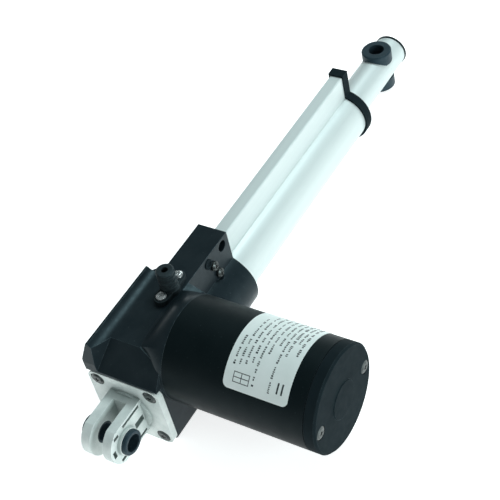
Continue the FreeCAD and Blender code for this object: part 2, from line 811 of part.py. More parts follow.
def front_bush(where, sign):
    """Flanged bush across the rod end, its underside saddled to the rod."""
    at = ("hole_to_hole", "0", "0")
    profile = [
        ("pin_radius", f"{sign}(0.03)"),
        ("bush_collar_radius", f"{sign}(0.03)"),
        ("bush_collar_radius", f"{sign}(6)"),
        ("front_flange_radius", f"{sign}(6)"),
        ("front_flange_radius", f"{sign}(front_flange_top - 0.7)"),
        ("front_flange_radius - 0.7", f"{sign}(front_flange_top)"),
        ("pin_radius", f"{sign}(front_flange_top)"),
    ]
    blank = turned(f"front_bush_{where}_blank", "Z", profile, at)
    saddle = tube(f"saddle_{where}", "X", "rod_radius + 0.02", "rod_bore - 4", ("300", "330"))
    eye = ("hole_to_hole", "0")
    collar = tube(f"collar_{where}", "Z", "20", "bush_collar_radius", ("-16", "16"), eye)
    scoop = common(f"scoop_{where}", saddle, collar)
    return piece(f"front_bush_{where}", cut(f"front_bush_{where}_cut", blank, scoop))


# ---------------------------------------------------------------- screw and worm gear
def helix_thread(root, tip, lead, length, root_width, tip_width):
    """A trapezoid ridge wound along +Z, right-handed, starting on +X."""
    sunk = 0.15
    flank = (root_width - tip_width) / (2 * (tip - root))
    half_root = root_width / 2 + sunk * flank
    half_tip = tip_width / 2
    corners = [
        Vector(root - sunk, 0, -half_root),
        Vector(tip, 0, -half_tip),
        Vector(tip, 0, half_tip),
        Vector(root - sunk, 0, half_root),
    ]
    profile = Part.Wire(Part.makePolygon(corners + corners[:1]).Edges)
    path = Part.Wire(Part.makeHelix(lead, length, root))
    return path.makePipeShell([profile], True, True)


def laid_along(shape, axis, at):
    """A copy of a shape built along +Z, laid along another axis."""
    moved = shape.copy()
    moved.Placement = FreeCAD.Placement(Vector(*at), TURN[axis])
    return moved


def lead_screw():
    """Stepped shaft with a trapezoid thread between the bearings and the end stop."""
    lead = size("thread_lead")
    root = size("thread_root")
    tip = size("thread_tip")
    start = size("thread_start")
    length = size("thread_end") - start
    shoulder = size("stop_shoulder")
    steps = [
        (5.0, 24.9, 34.2),
        (6.0, 34.2, 77.0),
        (root, 77.0, shoulder),
        (size("stop_bore"), shoulder, size("shaft_end")),
    ]
    shaft = None
    for radius, rear, front in steps:
        step = Part.makeCylinder(radius, front - rear, Vector(rear, 0, 0), Vector(1, 0, 0))
        shaft = step if shaft is None else shaft.fuse(step)
    ridge = helix_thread(root, tip, lead, length, 0.6 * lead, 0.3 * lead)
    shaft = shaft.fuse(laid_along(ridge, "X", (start, 0, 0)))
    keyway = Part.makeBox(10, 3.1, 2, Vector(size("worm_x") - 5, -1.55, 4.6))
    return solid_piece("lead_screw", shaft.cut(keyway))


def nut_thread_tool():
    """The screw's own thread, grown by the running clearance, one lead further back."""
    lead = size("thread_lead")
    gap = 0.2
    rear = size("thread_start") - lead
    root = size("thread_root") + gap
    tip = size("thread_tip") + gap
    ridge = helix_thread(root, tip, lead, 10 * lead, 0.6 * lead + 2 * gap, 0.3 * lead + 2 * gap)
    return laid_along(ridge, "X", (rear, 0, 0))


def worm_wheel():
    """Plastic helical wheel on a hub; the teeth lean by the worm's lead angle."""
    module = size("gear_module")
    teeth = int(size("wheel_teeth"))
    pitch_radius = module * teeth / 2
    worm_pitch = size("worm_z") - pitch_radius
    tip = pitch_radius + module
    root = pitch_radius - 1.3 * module
    half = size("wheel_half_width")
    lean = math.degrees(2 * half * module / (2 * worm_pitch) / pitch_radius)
    centre = size("worm_x")

    def section(x, turn):
        points = []
        for tooth in range(teeth):
            middle = 360 / teeth * (tooth + 0.5)
            for radius, width in ((root, -2.05), (tip, -0.8), (tip, 0.8), (root, 2.05)):
                angle = math.radians(middle + turn) + width / 2 / radius
                points.append(Vector(x, -radius * math.sin(angle), radius * math.cos(angle)))
        return Part.Wire(Part.makePolygon(points + points[:1]).Edges)

    rear = section(centre - half, -lean / 2)
    front = section(centre + half, lean / 2)
    rim = Part.makeLoft([rear, front], True, True)
    along = Vector(1, 0, 0)
    hub = Part.makeCylinder(9.5, 21.3, Vector(43.1, 0, 0), along)
    bore = Part.makeCylinder(6.02, 30, Vector(40, 0, 0), along)
    dish_rear = Part.makeCylinder(13.4, 4, Vector(centre - half - 1, 0, 0), along)
    dish_front = Part.makeCylinder(13.4, 4, Vector(centre + half - 3, 0, 0), along)
    keyway = Part.makeBox(10.2, 3.1, 4, Vector(centre - 5.1, -1.55, 4))
    wheel = rim.cut(dish_rear).cut(dish_front).fuse(hub).cut(bore).cut(keyway)
    return solid_piece("worm_wheel", wheel)


def screw_fittings():
    """Key, spacer, circlip and end stop that turn with the lead screw."""
    key = box("wheel_key_bar", ("worm_x - 4.9", "worm_x + 4.9"), ("-1.5", "1.5"), ("4.65", "7.9"))
    piece("wheel_key", key)
    piece("bearing_spacer", tube("spacer", "X", "8", "6.03", ("34.3", "43")))
    ring = tube("circlip", "X", "6.6", "5.02", ("25", "25.9"))
    gap = box("circlip_gap", ("24", "27"), ("-1.2", "1.2"), ("0", "9"))
    piece("rear_circlip", cut("circlip_cut", ring, gap))
    loose = "stop_bore + 0.03"
    face = ("stop_shoulder + 0.05", "stop_shoulder + 1.8")
    piece("end_stop_washer", tube("stop_washer", "X", "8.1", loose, face))
    hexagon = doc.addObject("Part::Prism", "stop_nut_hex")
    hexagon.Polygon = 6
    hexagon.Circumradius = 6.4
    hexagon.Height = 4.2
    hexagon.Placement.Rotation = TURN["X"]
    place(hexagon, ("stop_shoulder + 1.85", "0", "0"))
    nut_bore = rod("stop_nut_bore", "X", loose, ("stop_shoulder + 1", "shaft_end"))
    piece("end_stop_nut", cut("stop_nut_cut", hexagon, nut_bore))


def ball_bearing(label, axis, at, bore, outer, width):
    """Two grooved rings and a ring of balls, built along +Z from its rear face."""
    middle = (bore + outer) / 2
    ball = 0.3 * (outer - bore)
    land = 0.28 * (outer - bore)
    inner_ring = Part.makeCylinder(bore + land, width).cut(Part.makeCylinder(bore, width))
    outer_ring = Part.makeCylinder(outer, width).cut(Part.makeCylinder(outer - land, width))
    groove = Part.makeTorus(middle, ball + 0.05, Vector(0, 0, width / 2))
    solids = [inner_ring.cut(groove), outer_ring.cut(groove)]
    count = int(2 * math.pi * middle / (2.6 * ball))
    for number in range(count):
        angle = 2 * math.pi * number / count
        centre = Vector(middle * math.cos(angle), middle * math.sin(angle), width / 2)
        solids.append(Part.makeSphere(ball, centre))
    return solid_piece(label, Part.makeCompound(solids), at, axis)


def bearings():
    gap = size("shaft_gap")
    worm_x = size("worm_x")
    worm_z = size("worm_z")
    motor_bore = size("motor_shaft") + gap
    ball_bearing("rear_screw_bearing", "X", (26, 0, 0), 5 + gap, 13, 8)
    ball_bearing("front_screw_bearing", "X", (64.5, 0, 0), 6 + gap, 14, 8)
    ball_bearing("worm_end_bearing", "Y", (worm_x, 14.4, worm_z), motor_bore, 8.26, 5)
    ball_bearing("motor_front_bearing", "Y", (worm_x, -29.4, worm_z), motor_bore, 8, 5)
    ball_bearing("motor_rear_bearing", "Y", (worm_x, -103.9, worm_z), motor_bore, 8, 5)
    carrier = [
        ("24.6", "13.03"),
        ("34.15", "13.03"),
        ("34.15", "11"),
        ("35.2", "11"),
        ("35.2", "gear_cavity - 0.05"),
        ("24.6", "gear_cavity - 0.05"),
    ]
    piece("bearing_carrier", turned("bearing_carrier_body", "X", carrier))


# ---------------------------------------------------------------- motor
def motor_casing():
    """Cover tube, steel can and the two end plates."""
    cover_inside = "cover_radius - cover_wall"
    cover_span = ("-cover_end", "-cover_start - 0.02")
    piece("motor_cover", tube("cover", "Y", "cover_radius", cover_inside, cover_span, MOTOR))

    can = tube("can", "Y", "can_radius", "can_radius - 2", ("-can_end", "-can_start - 0.02"), MOTOR)
    piece("motor_can", can)

    disc = rod("front_plate_disc", "Y", "can_radius", ("-can_start", "-cover_start - 0.5"), MOTOR)
    spigot = rod("front_plate_spigot", "Y", "11", ("-cover_start - 1", "-19.6"), MOTOR)
    tools = [
        rod("front_plate_seat_tool", "Y", "8.02", ("-can_start - 1", "-24.3"), MOTOR),
        rod("front_plate_hole", "Y", "4.6", ("-31", "-19"), MOTOR),
    ]
    piece("motor_front_plate", cut("front_plate_cut", fuse("front_plate", disc, spigot), *tools))

    disc = rod("rear_plate_disc", "Y", "25.1", ("-103.7", "-can_end - 0.02"), MOTOR)
    boss = rod("rear_plate_boss", "Y", "10.5", ("-104.4", "-98.8"), MOTOR)
    tools = [rod("rear_plate_seat", "Y", "8.02", ("-104", "-98"), MOTOR)]
    for name, centre in END_SCREWS.items():
        tools.append(rod(f"rear_plate_hole_{name}", "Y", "1.62", ("-105", "-99"), centre))
    piece("motor_rear_plate", cut("rear_plate_cut", fuse("rear_plate", disc, boss), *tools))


def motor_end_cap():
    """Cap with a low round disc, a spigot inside the cover and two screw posts."""
    spigot = "cover_radius - cover_wall - 0.03"
    inside = "cover_radius - cover_wall - 1.5"
    outline = [
        ("0", "-end_face - end_disc_rise"),
        ("10.1", "-end_face - end_disc_rise"),
        ("10.6", "-end_face"),
        ("cover_radius - 1.1", "-end_face"),
        ("cover_radius", "-end_face + 1.1"),
        ("cover_radius", "-cover_end - 0.4"),
        ("cover_radius - 0.5", "-cover_end - 0.02"),
        (spigot, "-cover_end - 0.02"),
        (spigot, "-cover_end + 3"),
        (inside, "-cover_end + 3"),
        (inside, "-end_face + 3"),
        ("0", "-end_face + 3"),
    ]
    parts = [turned("end_cap_body", "Y", outline, MOTOR_AT)]
    tools = []
    for name, centre in END_SCREWS.items():
        parts.append(rod(f"cap_post_{name}", "Y", "3.2", ("-end_face + 2", "-103.8"), centre))
        tools.append(rod(f"cap_bore_{name}", "Y", "1.7", ("-end_face - 1", "-100"), centre))
        sink = ("-end_face - 1", "-end_face + 1.2")
        tools.append(rod(f"cap_sink_{name}", "Y", "3.9", sink, centre))
    piece("motor_end_cap", cut("end_cap_cut", fuse("end_cap_whole", *parts), *tools))


def end_cap_screws():
    profile = [
        ("0", "-end_face - 0.3"),
        ("2.4", "-end_face - 0.3"),
        ("3.6", "-end_face + 0.3"),
        ("3.6", "-end_face + 1.18"),
        ("1.6", "-end_face + 1.18"),
        ("1.6", "-100.4"),
        ("0", "-100.4"),
    ]
    recess_span = ("-end_face - 1", "-end_face + 0.7")
    screws = []
    for name, centre in END_SCREWS.items():
        shank = turned(f"end_shank_{name}", "Y", profile, (centre[0], "0", centre[1]))
        recess = cross_recess(f"end_recess_{name}", "Y", recess_span, centre, "3.4")
        screws.append(cut(f"end_cap_screw_{name}", shank, recess))
    return piece("end_cap_screws", group("end_cap_screw_set", *screws))


def rating_label():
    """A thin plate bent round the cover, with rounded corners."""
    radius = size("cover_radius") + 0.02
    arc = size("label_arc")
    length = size("label_length")
    corner = size("label_corner")
    outside = radius + size("label_thickness")
    along = Vector(0, 0, 1)
    start = 180 + size("label_start")
    blank = Part.makeCylinder(outside, length, Vector(), along, arc)
    blank.rotate(Vector(), along, start)
    bent = blank.cut(Part.makeCylinder(radius, length))
    for turn, tangent in ((0, 1), (arc, -1)):
        for end, inward in ((0, 1), (length, -1)):
            y = tangent * corner
            z = end + inward * corner
            low = Vector(radius - 1, min(0, y), min(end, z))
            block = Part.makeBox(2, corner, corner, low)
            disc = Part.makeCylinder(corner, 2, Vector(radius - 1, y, z), Vector(1, 0, 0))
            tool = block.cut(disc)
            tool.rotate(Vector(), along, start + turn)
            bent = bent.cut(tool)
    at = (size("worm_x"), -size("label_end"), size("worm_z"))
    return solid_piece("rating_label", bent, at, "Y")


def field_magnets():
    """Two ferrite arcs that line the can round the armature."""
    magnets = []
    for side, turn in (("upper", 30), ("lower", 210)):
        arc = rod(f"magnet_{side}_arc", "Y", "can_radius - 2.05", ("-84", "-38"), MOTOR)
        arc.Angle = 120
        arc.Placement.Rotation = TURN["Y"].multiply(FreeCAD.Rotation(Vector(0, 0, 1), turn))
        hollow = rod(f"magnet_{side}_hollow", "Y", "20", ("-90", "-30"), MOTOR)
        magnets.append(cut(f"magnet_{side}", arc, hollow))
    return piece("field_magnets", group("magnet_set", *magnets))


def brush_gear():
    """Holder disc with two guide boxes, a carbon brush and a coil spring in each."""
    disc = tube("holder_disc", "Y", "24.2", "10", ("-98.6", "-96.8"), MOTOR)
    guides = []
    slots = []
    brushes = []
    springs = []
    for side, sign in (("rear", -1), ("front", 1)):

        def block(name, near, far, y, half):
            ends = [f"worm_x - ({far})", f"worm_x - ({near})"]
            if sign > 0:
                ends = [f"worm_x + {near}", f"worm_x + {far}"]
            return box(f"{name}_{side}", ends, y, (f"worm_z - {half}", f"worm_z + {half}"))

        guides.append(block("brush_guide", "9.9", "22.4", ("-97", "-88.5"), "4.6"))
        slots.append(block("brush_slot", "9", "21", ("-95.1", "-90.4"), "3.3"))
        brushes.append(block("brush", "brush_inner", "brush_outer", ("-95", "-90.5"), "3.2"))
        springs.append(brush_spring(sign))
    holder = cut("brush_holder_cut", fuse("brush_holder_whole", disc, *guides), *slots)
    piece("brush_holder", holder)
    piece("carbon_brushes", group("brush_set", *brushes))
    solid_piece("brush_springs", Part.makeCompound(springs))


def brush_spring(sign):
    """Four turns of square wire between a brush's back and the end of its guide."""
    coil_radius = 1.5
    half_wire = 0.25
    path = Part.Wire(Part.makeHelix(1.1, 4.4, coil_radius))
    corners = []
    for x, z in ((-1, -1), (1, -1), (1, 1), (-1, 1)):
        corners.append(Vector(coil_radius + half_wire * x, 0, half_wire * z))
    wire = Part.Wire(Part.makePolygon(corners + corners[:1]).Edges)
    coil = path.makePipeShell([wire], True, True)
    turn = TURN["X"] if sign > 0 else FreeCAD.Rotation(Vector(0, 1, 0), -90)
    start = size("worm_x") + sign * (size("brush_outer") + 0.3)
    coil.Placement = FreeCAD.Placement(Vector(start, -92.75, size("worm_z")), turn)
    return coil


def worm_shaft():
    """Motor shaft with the worm cut on its gearbox end."""
    module = size("gear_module")
    lead = math.pi * module
    half = size("worm_half_length")
    core = size("worm_core")
    tip = size("worm_tip")
    radius = size("motor_shaft")
    turns = 7
    tail = Part.makeCylinder(radius, 103, Vector(0, 0, -103.6))
    nose = Part.makeCylinder(radius, 20, Vector(0, 0, -0.6))
    middle = Part.makeCylinder(core, 2 * half + 1, Vector(0, 0, -half - 0.5))
    thread = helix_thread(core, tip, lead, turns * lead, 1.95, 0.85)
    phase = FreeCAD.Rotation(Vector(0, 0, 1), WORM_PHASE)
    thread.Placement = FreeCAD.Placement(Vector(0, 0, -turns * lead / 2), phase)
    shaft = tail.fuse([nose, middle, thread])
    return solid_piece("worm_shaft", shaft, (size("worm_x"), 0, size("worm_z")), "Y")


def armature():
    """Laminated core with slots, wound ends and the commutator, all on the worm shaft."""
    along = Vector(0, 0, 1)
    core = Part.makeCylinder(19.3, 38)
    for number in range(10):
        angle = 36 * number
        slot = Part.makeBox(9, 2, 40, Vector(11.5, -1, -1))
        mouth = Part.makeCylinder(2.6, 40, Vector(13.2, 0, -1))
        for tool in (slot, mouth):
            tool.rotate(Vector(), along, angle)
            core = core.cut(tool)
    core = core.cut(Part.makeCylinder(4.02, 40))
    at = (size("worm_x"), -80, size("worm_z"))
    solid_piece("armature_core", core, at, "Y")

    coils = []
    for number in range(10):
        bar = Part.makeCylinder(2.3, 42, Vector(13.2, 0, -2))
        bar.rotate(Vector(), along, 36 * number)
        coils.append(bar)
    heads = Part.makeTorus(12.2, 3.2, Vector(0, 0, -3.3))
    far_heads = Part.makeTorus(12.2, 3.2, Vector(0, 0, 41.3))
    winding = heads.fuse([far_heads] + coils)
    solid_piece("armature_windings", winding, at, "Y")

    bars = []
    for number in range(10):
        wedge = Part.makeCylinder(9, 11, Vector(), along, 33)
        wedge.rotate(Vector(), along, 36 * number)
        bars.append(wedge.cut(Part.makeCylinder(6.4, 11)))
    sleeve = Part.makeCylinder(6.38, 11.5).cut(Part.makeCylinder(4.02, 11.5))
    at = (size("worm_x"), -98, size("worm_z"))
    solid_piece("commutator", Part.makeCompound(bars + [sleeve]), at, "Y")


def cover_seal():
    """Flat ring between the motor's front plate and the casting."""
    ring = tube("seal", "Y", "26.3", "11.2", ("-cover_start - 0.46", "-cover_start - 0.02"), MOTOR)
    return piece("motor_gasket", ring)


# ---------------------------------------------------------------- build and write
rear_clevis()
clevis_screws()
rear_bush("left", "")
rear_bush("right", "-")
gearbox_housing()
clamp_screws()
side_plug()
cable_gland()
gland_screws()
outer_tube()
tube_end_cap()
rod_guides()
limit_switches()
inner_tube()
drive_nut(nut_thread_tool())
nut_pins()
rod_end_plug()
front_bush("top", "")
front_bush("bottom", "-")
lead_screw()
worm_wheel()
screw_fittings()
bearings()
motor_casing()
motor_end_cap()
end_cap_screws()
rating_label()
field_magnets()
brush_gear()
worm_shaft()
armature()
cover_seal()

doc.recompute()

for thing in doc.Objects:
    if "Invalid" in thing.State or "Error" in thing.State:
        raise RuntimeError(f"{thing.Name} failed: {thing.State}")

os.makedirs("parts", exist_ok=True)
for thing in PIECES:
    shape = thing.Shape
    if shape.isNull() or not shape.isValid():
        raise RuntimeError(f"{thing.Label} has no valid shape")
    shape.exportStep(f"parts/{thing.Label}.step")
    print(f"{thing.Label}: {len(shape.Solids)} solids, {shape.Volume / 1000:.2f} cm3")
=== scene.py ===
import json
import math
import random

import bmesh
import bpy
from mathutils import Matrix, Vector


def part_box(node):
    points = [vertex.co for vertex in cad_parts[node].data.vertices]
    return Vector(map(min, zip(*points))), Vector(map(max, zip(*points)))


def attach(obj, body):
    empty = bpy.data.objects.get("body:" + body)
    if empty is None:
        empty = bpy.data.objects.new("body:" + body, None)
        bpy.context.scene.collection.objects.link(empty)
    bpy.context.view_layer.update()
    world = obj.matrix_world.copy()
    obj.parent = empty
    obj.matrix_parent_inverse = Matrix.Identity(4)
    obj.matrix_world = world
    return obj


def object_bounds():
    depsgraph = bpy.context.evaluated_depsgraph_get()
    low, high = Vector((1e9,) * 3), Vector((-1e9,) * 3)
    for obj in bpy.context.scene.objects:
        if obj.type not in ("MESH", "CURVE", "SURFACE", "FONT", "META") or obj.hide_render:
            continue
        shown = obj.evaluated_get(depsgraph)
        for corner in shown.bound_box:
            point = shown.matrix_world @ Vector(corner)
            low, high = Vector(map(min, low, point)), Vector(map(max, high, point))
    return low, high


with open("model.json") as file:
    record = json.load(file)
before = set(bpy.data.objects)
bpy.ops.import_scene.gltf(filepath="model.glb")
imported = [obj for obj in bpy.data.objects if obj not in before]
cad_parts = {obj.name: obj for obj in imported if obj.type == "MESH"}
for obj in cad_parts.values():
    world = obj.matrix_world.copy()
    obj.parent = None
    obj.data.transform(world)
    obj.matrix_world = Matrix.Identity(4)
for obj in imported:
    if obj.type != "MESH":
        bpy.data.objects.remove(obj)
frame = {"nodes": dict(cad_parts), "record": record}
cad_low, cad_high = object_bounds()

MM = 0.001
# how far the painted shade in a hollow reaches from its walls
PAINTED_SHADE_REACH = 9 * MM
# openness of a place, from full painted shade to none, and how strong that painted shade gets
PAINTED_SHADE_OPENNESS = (0.35, 0.95)
PAINTED_SHADE_STRENGTH = 0.85
# how far the softened normal turns away from the flat one, from no edge wear and painted edge
# highlight to full
EDGE_TURN = (0.985, 0.86)

# the studio: one tint for the lamps, a paler one for the world round them
LAMP_COLOUR = (0.86, 0.99, 1.0)
WORLD_COLOUR = (0.86, 0.98, 1.0, 1)
WORLD_STRENGTH = 0.2
FLOOR_HALF_WIDTH = 8
FLOOR_GAP = 0.2 * MM
FLOOR_GLOW = 0.76
# name, place from the middle of the object, size and power of each lamp
LAMPS = [
    ("key", (-0.12, -1.3, 0.42), (0.5, 0.6), 9.2),
    ("top", (0.64, -0.07, 1.25), (0.5, 0.4), 10),
    ("rim", (1.3, 0.35, 0.12), (1.0, 0.8), 3.2),
    ("fill", (-1.2, -0.35, 0.35), (0.8, 0.6), 0.7),
]

CAMERA_PLACE = Vector((-0.2472, -0.3329, 0.5045))
CAMERA_TARGET = Vector((0.1251, -0.0157, 0.0200))
CAMERA_ROLL = math.radians(-14.55)
LENS = 89.6
SENSOR_WIDTH = 36


# ---------------------------------------------------------------- materials
class Graph:
    """A material's node tree, with short calls for the nodes used here."""

    def __init__(self, name):
        self.material = bpy.data.materials.new(name)
        self.material.use_nodes = True
        self.tree = self.material.node_tree
        self.shader = self.tree.nodes["Principled BSDF"]
        self.where = self.add("ShaderNodeTexCoord").outputs["Object"]

    def add(self, kind, **settings):
        node = self.tree.nodes.new(kind)
        for key, value in settings.items():
            setattr(node, key, value)
        return node

    def link(self, output, socket):
        self.tree.links.new(output, socket)

    def stretched(self, stretch):
        mapping = self.add("ShaderNodeMapping")
        mapping.inputs["Scale"].default_value = stretch
        self.link(self.where, mapping.inputs["Vector"])
        return mapping.outputs["Vector"]

    def noise(self, size, stretch=(1, 1, 1), detail=4.0):
        """Noise whose blobs are about size millimetres across."""
        node = self.add("ShaderNodeTexNoise")
        node.inputs["Scale"].default_value = 1 / (size * MM)
        node.inputs["Detail"].default_value = detail
        node.inputs["Roughness"].default_value = 0.55
        self.link(self.stretched(stretch), node.inputs["Vector"])
        return node.outputs["Fac"]

    def bands(self, axis, pitch, distortion=0.0):
        """Stripes across an axis, one every pitch millimetres."""
        node = self.add("ShaderNodeTexWave", bands_direction=axis)
        node.inputs["Scale"].default_value = math.pi / 10 / (pitch * MM)
        node.inputs["Distortion"].default_value = distortion
        node.inputs["Detail"].default_value = 1.0
        self.link(self.where, node.inputs["Vector"])
        return node.outputs["Fac"]

    def remap(self, value, source, target):
        node = self.add("ShaderNodeMapRange")
        for name, number in zip(("From Min", "From Max", "To Min", "To Max"), (*source, *target)):
            node.inputs[name].default_value = number
        self.link(value, node.inputs["Value"])
        return node.outputs["Result"]

    def maths(self, operation, first, second):
        node = self.add("ShaderNodeMath", operation=operation)
        for socket, value in zip(node.inputs, (first, second)):
            if isinstance(value, (int, float)):
                socket.default_value = value
            else:
                self.link(value, socket)
        return node.outputs["Value"]

    def mix(self, factor, first, second):
        node = self.add("ShaderNodeMix", data_type="RGBA")
        self.link(factor, node.inputs[0])
        for index, value in ((6, first), (7, second)):
            if isinstance(value, tuple):
                node.inputs[index].default_value = (*value, 1)
            else:
                self.link(value, node.inputs[index])
        return node.outputs[2]

    def bump(self, height, depth, normal):
        """Height from 0 to 1 stands for depth millimetres."""
        node = self.add("ShaderNodeBump")
        node.inputs["Strength"].default_value = 1.0
        node.inputs["Distance"].default_value = depth * MM
        self.link(height, node.inputs["Height"])
        self.link(normal, node.inputs["Normal"])
        return node.outputs["Normal"]


def surface(
    slot,
    base,
    shade,
    rough,
    metallic=0.0,
    specular=0.5,
    tint=(1, 1, 1),
    coat=0.0,
    patch=14.0,
    grain=0.8,
    depth=0.01,
    stretch=(1, 1, 1),
    waviness=0.0,
    bands=None,
    bevel=0.25,
    worn_and_highlit_edge=None,
    edge_wear_and_highlight=0.0,
    specks=None,
    painted_shade_colour=None,
):
    """One finish: two-tone patches, uneven gloss, grain, softened edges, worn edges with a painted
    highlight, painted shade in hollows.
    """
    graph = Graph(slot)
    shader = graph.shader
    shader.inputs["Metallic"].default_value = metallic
    shader.inputs["Specular IOR Level"].default_value = specular
    shader.inputs["Specular Tint"].default_value = (*tint, 1)
    shader.inputs["Coat Weight"].default_value = coat
    shader.inputs["Coat Roughness"].default_value = 0.2

    patches = graph.remap(graph.noise(patch, stretch), (0.36, 0.64), (0, 1))
    colour = graph.mix(patches, base, shade)
    gloss = graph.noise(patch / 5, stretch, detail=6.0)

    soft = graph.add("ShaderNodeBevel", samples=4)
    soft.inputs["Radius"].default_value = bevel * MM
    normal = soft.outputs["Normal"]
    # edges get a lighter colour: partly wear, partly a painted highlight along the edges
    if worn_and_highlit_edge:
        facing = graph.add("ShaderNodeVectorMath", operation="DOT_PRODUCT")
        graph.link(normal, facing.inputs[0])
        graph.link(graph.add("ShaderNodeNewGeometry").outputs["Normal"], facing.inputs[1])
        edge = graph.remap(facing.outputs["Value"], EDGE_TURN, (0, 1))
        uneven = graph.remap(graph.noise(2.5), (0.38, 0.62), (0.25, 1))
        edge = graph.maths("MULTIPLY", graph.maths("MULTIPLY", edge, uneven), edge_wear_and_highlight)
        colour = graph.mix(edge, colour, worn_and_highlit_edge)
    # painted shade: the colour is darkened towards the given colour where ambient occlusion finds
    # walls close by
    if painted_shade_colour:
        painted_shade_occlusion = graph.add("ShaderNodeAmbientOcclusion", samples=8, only_local=True)
        painted_shade_occlusion.inputs["Distance"].default_value = PAINTED_SHADE_REACH
        painted_shade_mask = graph.remap(painted_shade_occlusion.outputs["AO"], PAINTED_SHADE_OPENNESS, (PAINTED_SHADE_STRENGTH, 0))
        colour = graph.mix(painted_shade_mask, colour, painted_shade_colour)
    if specks:
        dots = graph.remap(graph.noise(1.1, detail=1.0), (0.735, 0.765), (0, 0.6))
        colour = graph.mix(dots, colour, specks)
    if waviness:
        normal = graph.bump(graph.noise(9.0, stretch, detail=2.0), waviness, normal)
    if bands:
        stripes = graph.bands(*bands)
        normal = graph.bump(stripes, depth * 1.5, normal)
        colour = graph.mix(graph.remap(stripes, (0.2, 0.8), (0.35, 0)), colour, shade)
    normal = graph.bump(graph.noise(grain, stretch, detail=5.0), depth, normal)

    graph.link(colour, shader.inputs["Base Color"])
    graph.link(graph.remap(gloss, (0.3, 0.7), rough), shader.inputs["Roughness"])
    graph.link(normal, shader.inputs["Normal"])
    return graph.material


# stretches that turn round noise into marks along the tube or round a turned part
ALONG_X = (0.02, 1, 1)
ROUND_X = (1, 0.04, 0.04)
# colour of the sheen on the black parts
BLUISH = (0.62, 0.9, 1.0)
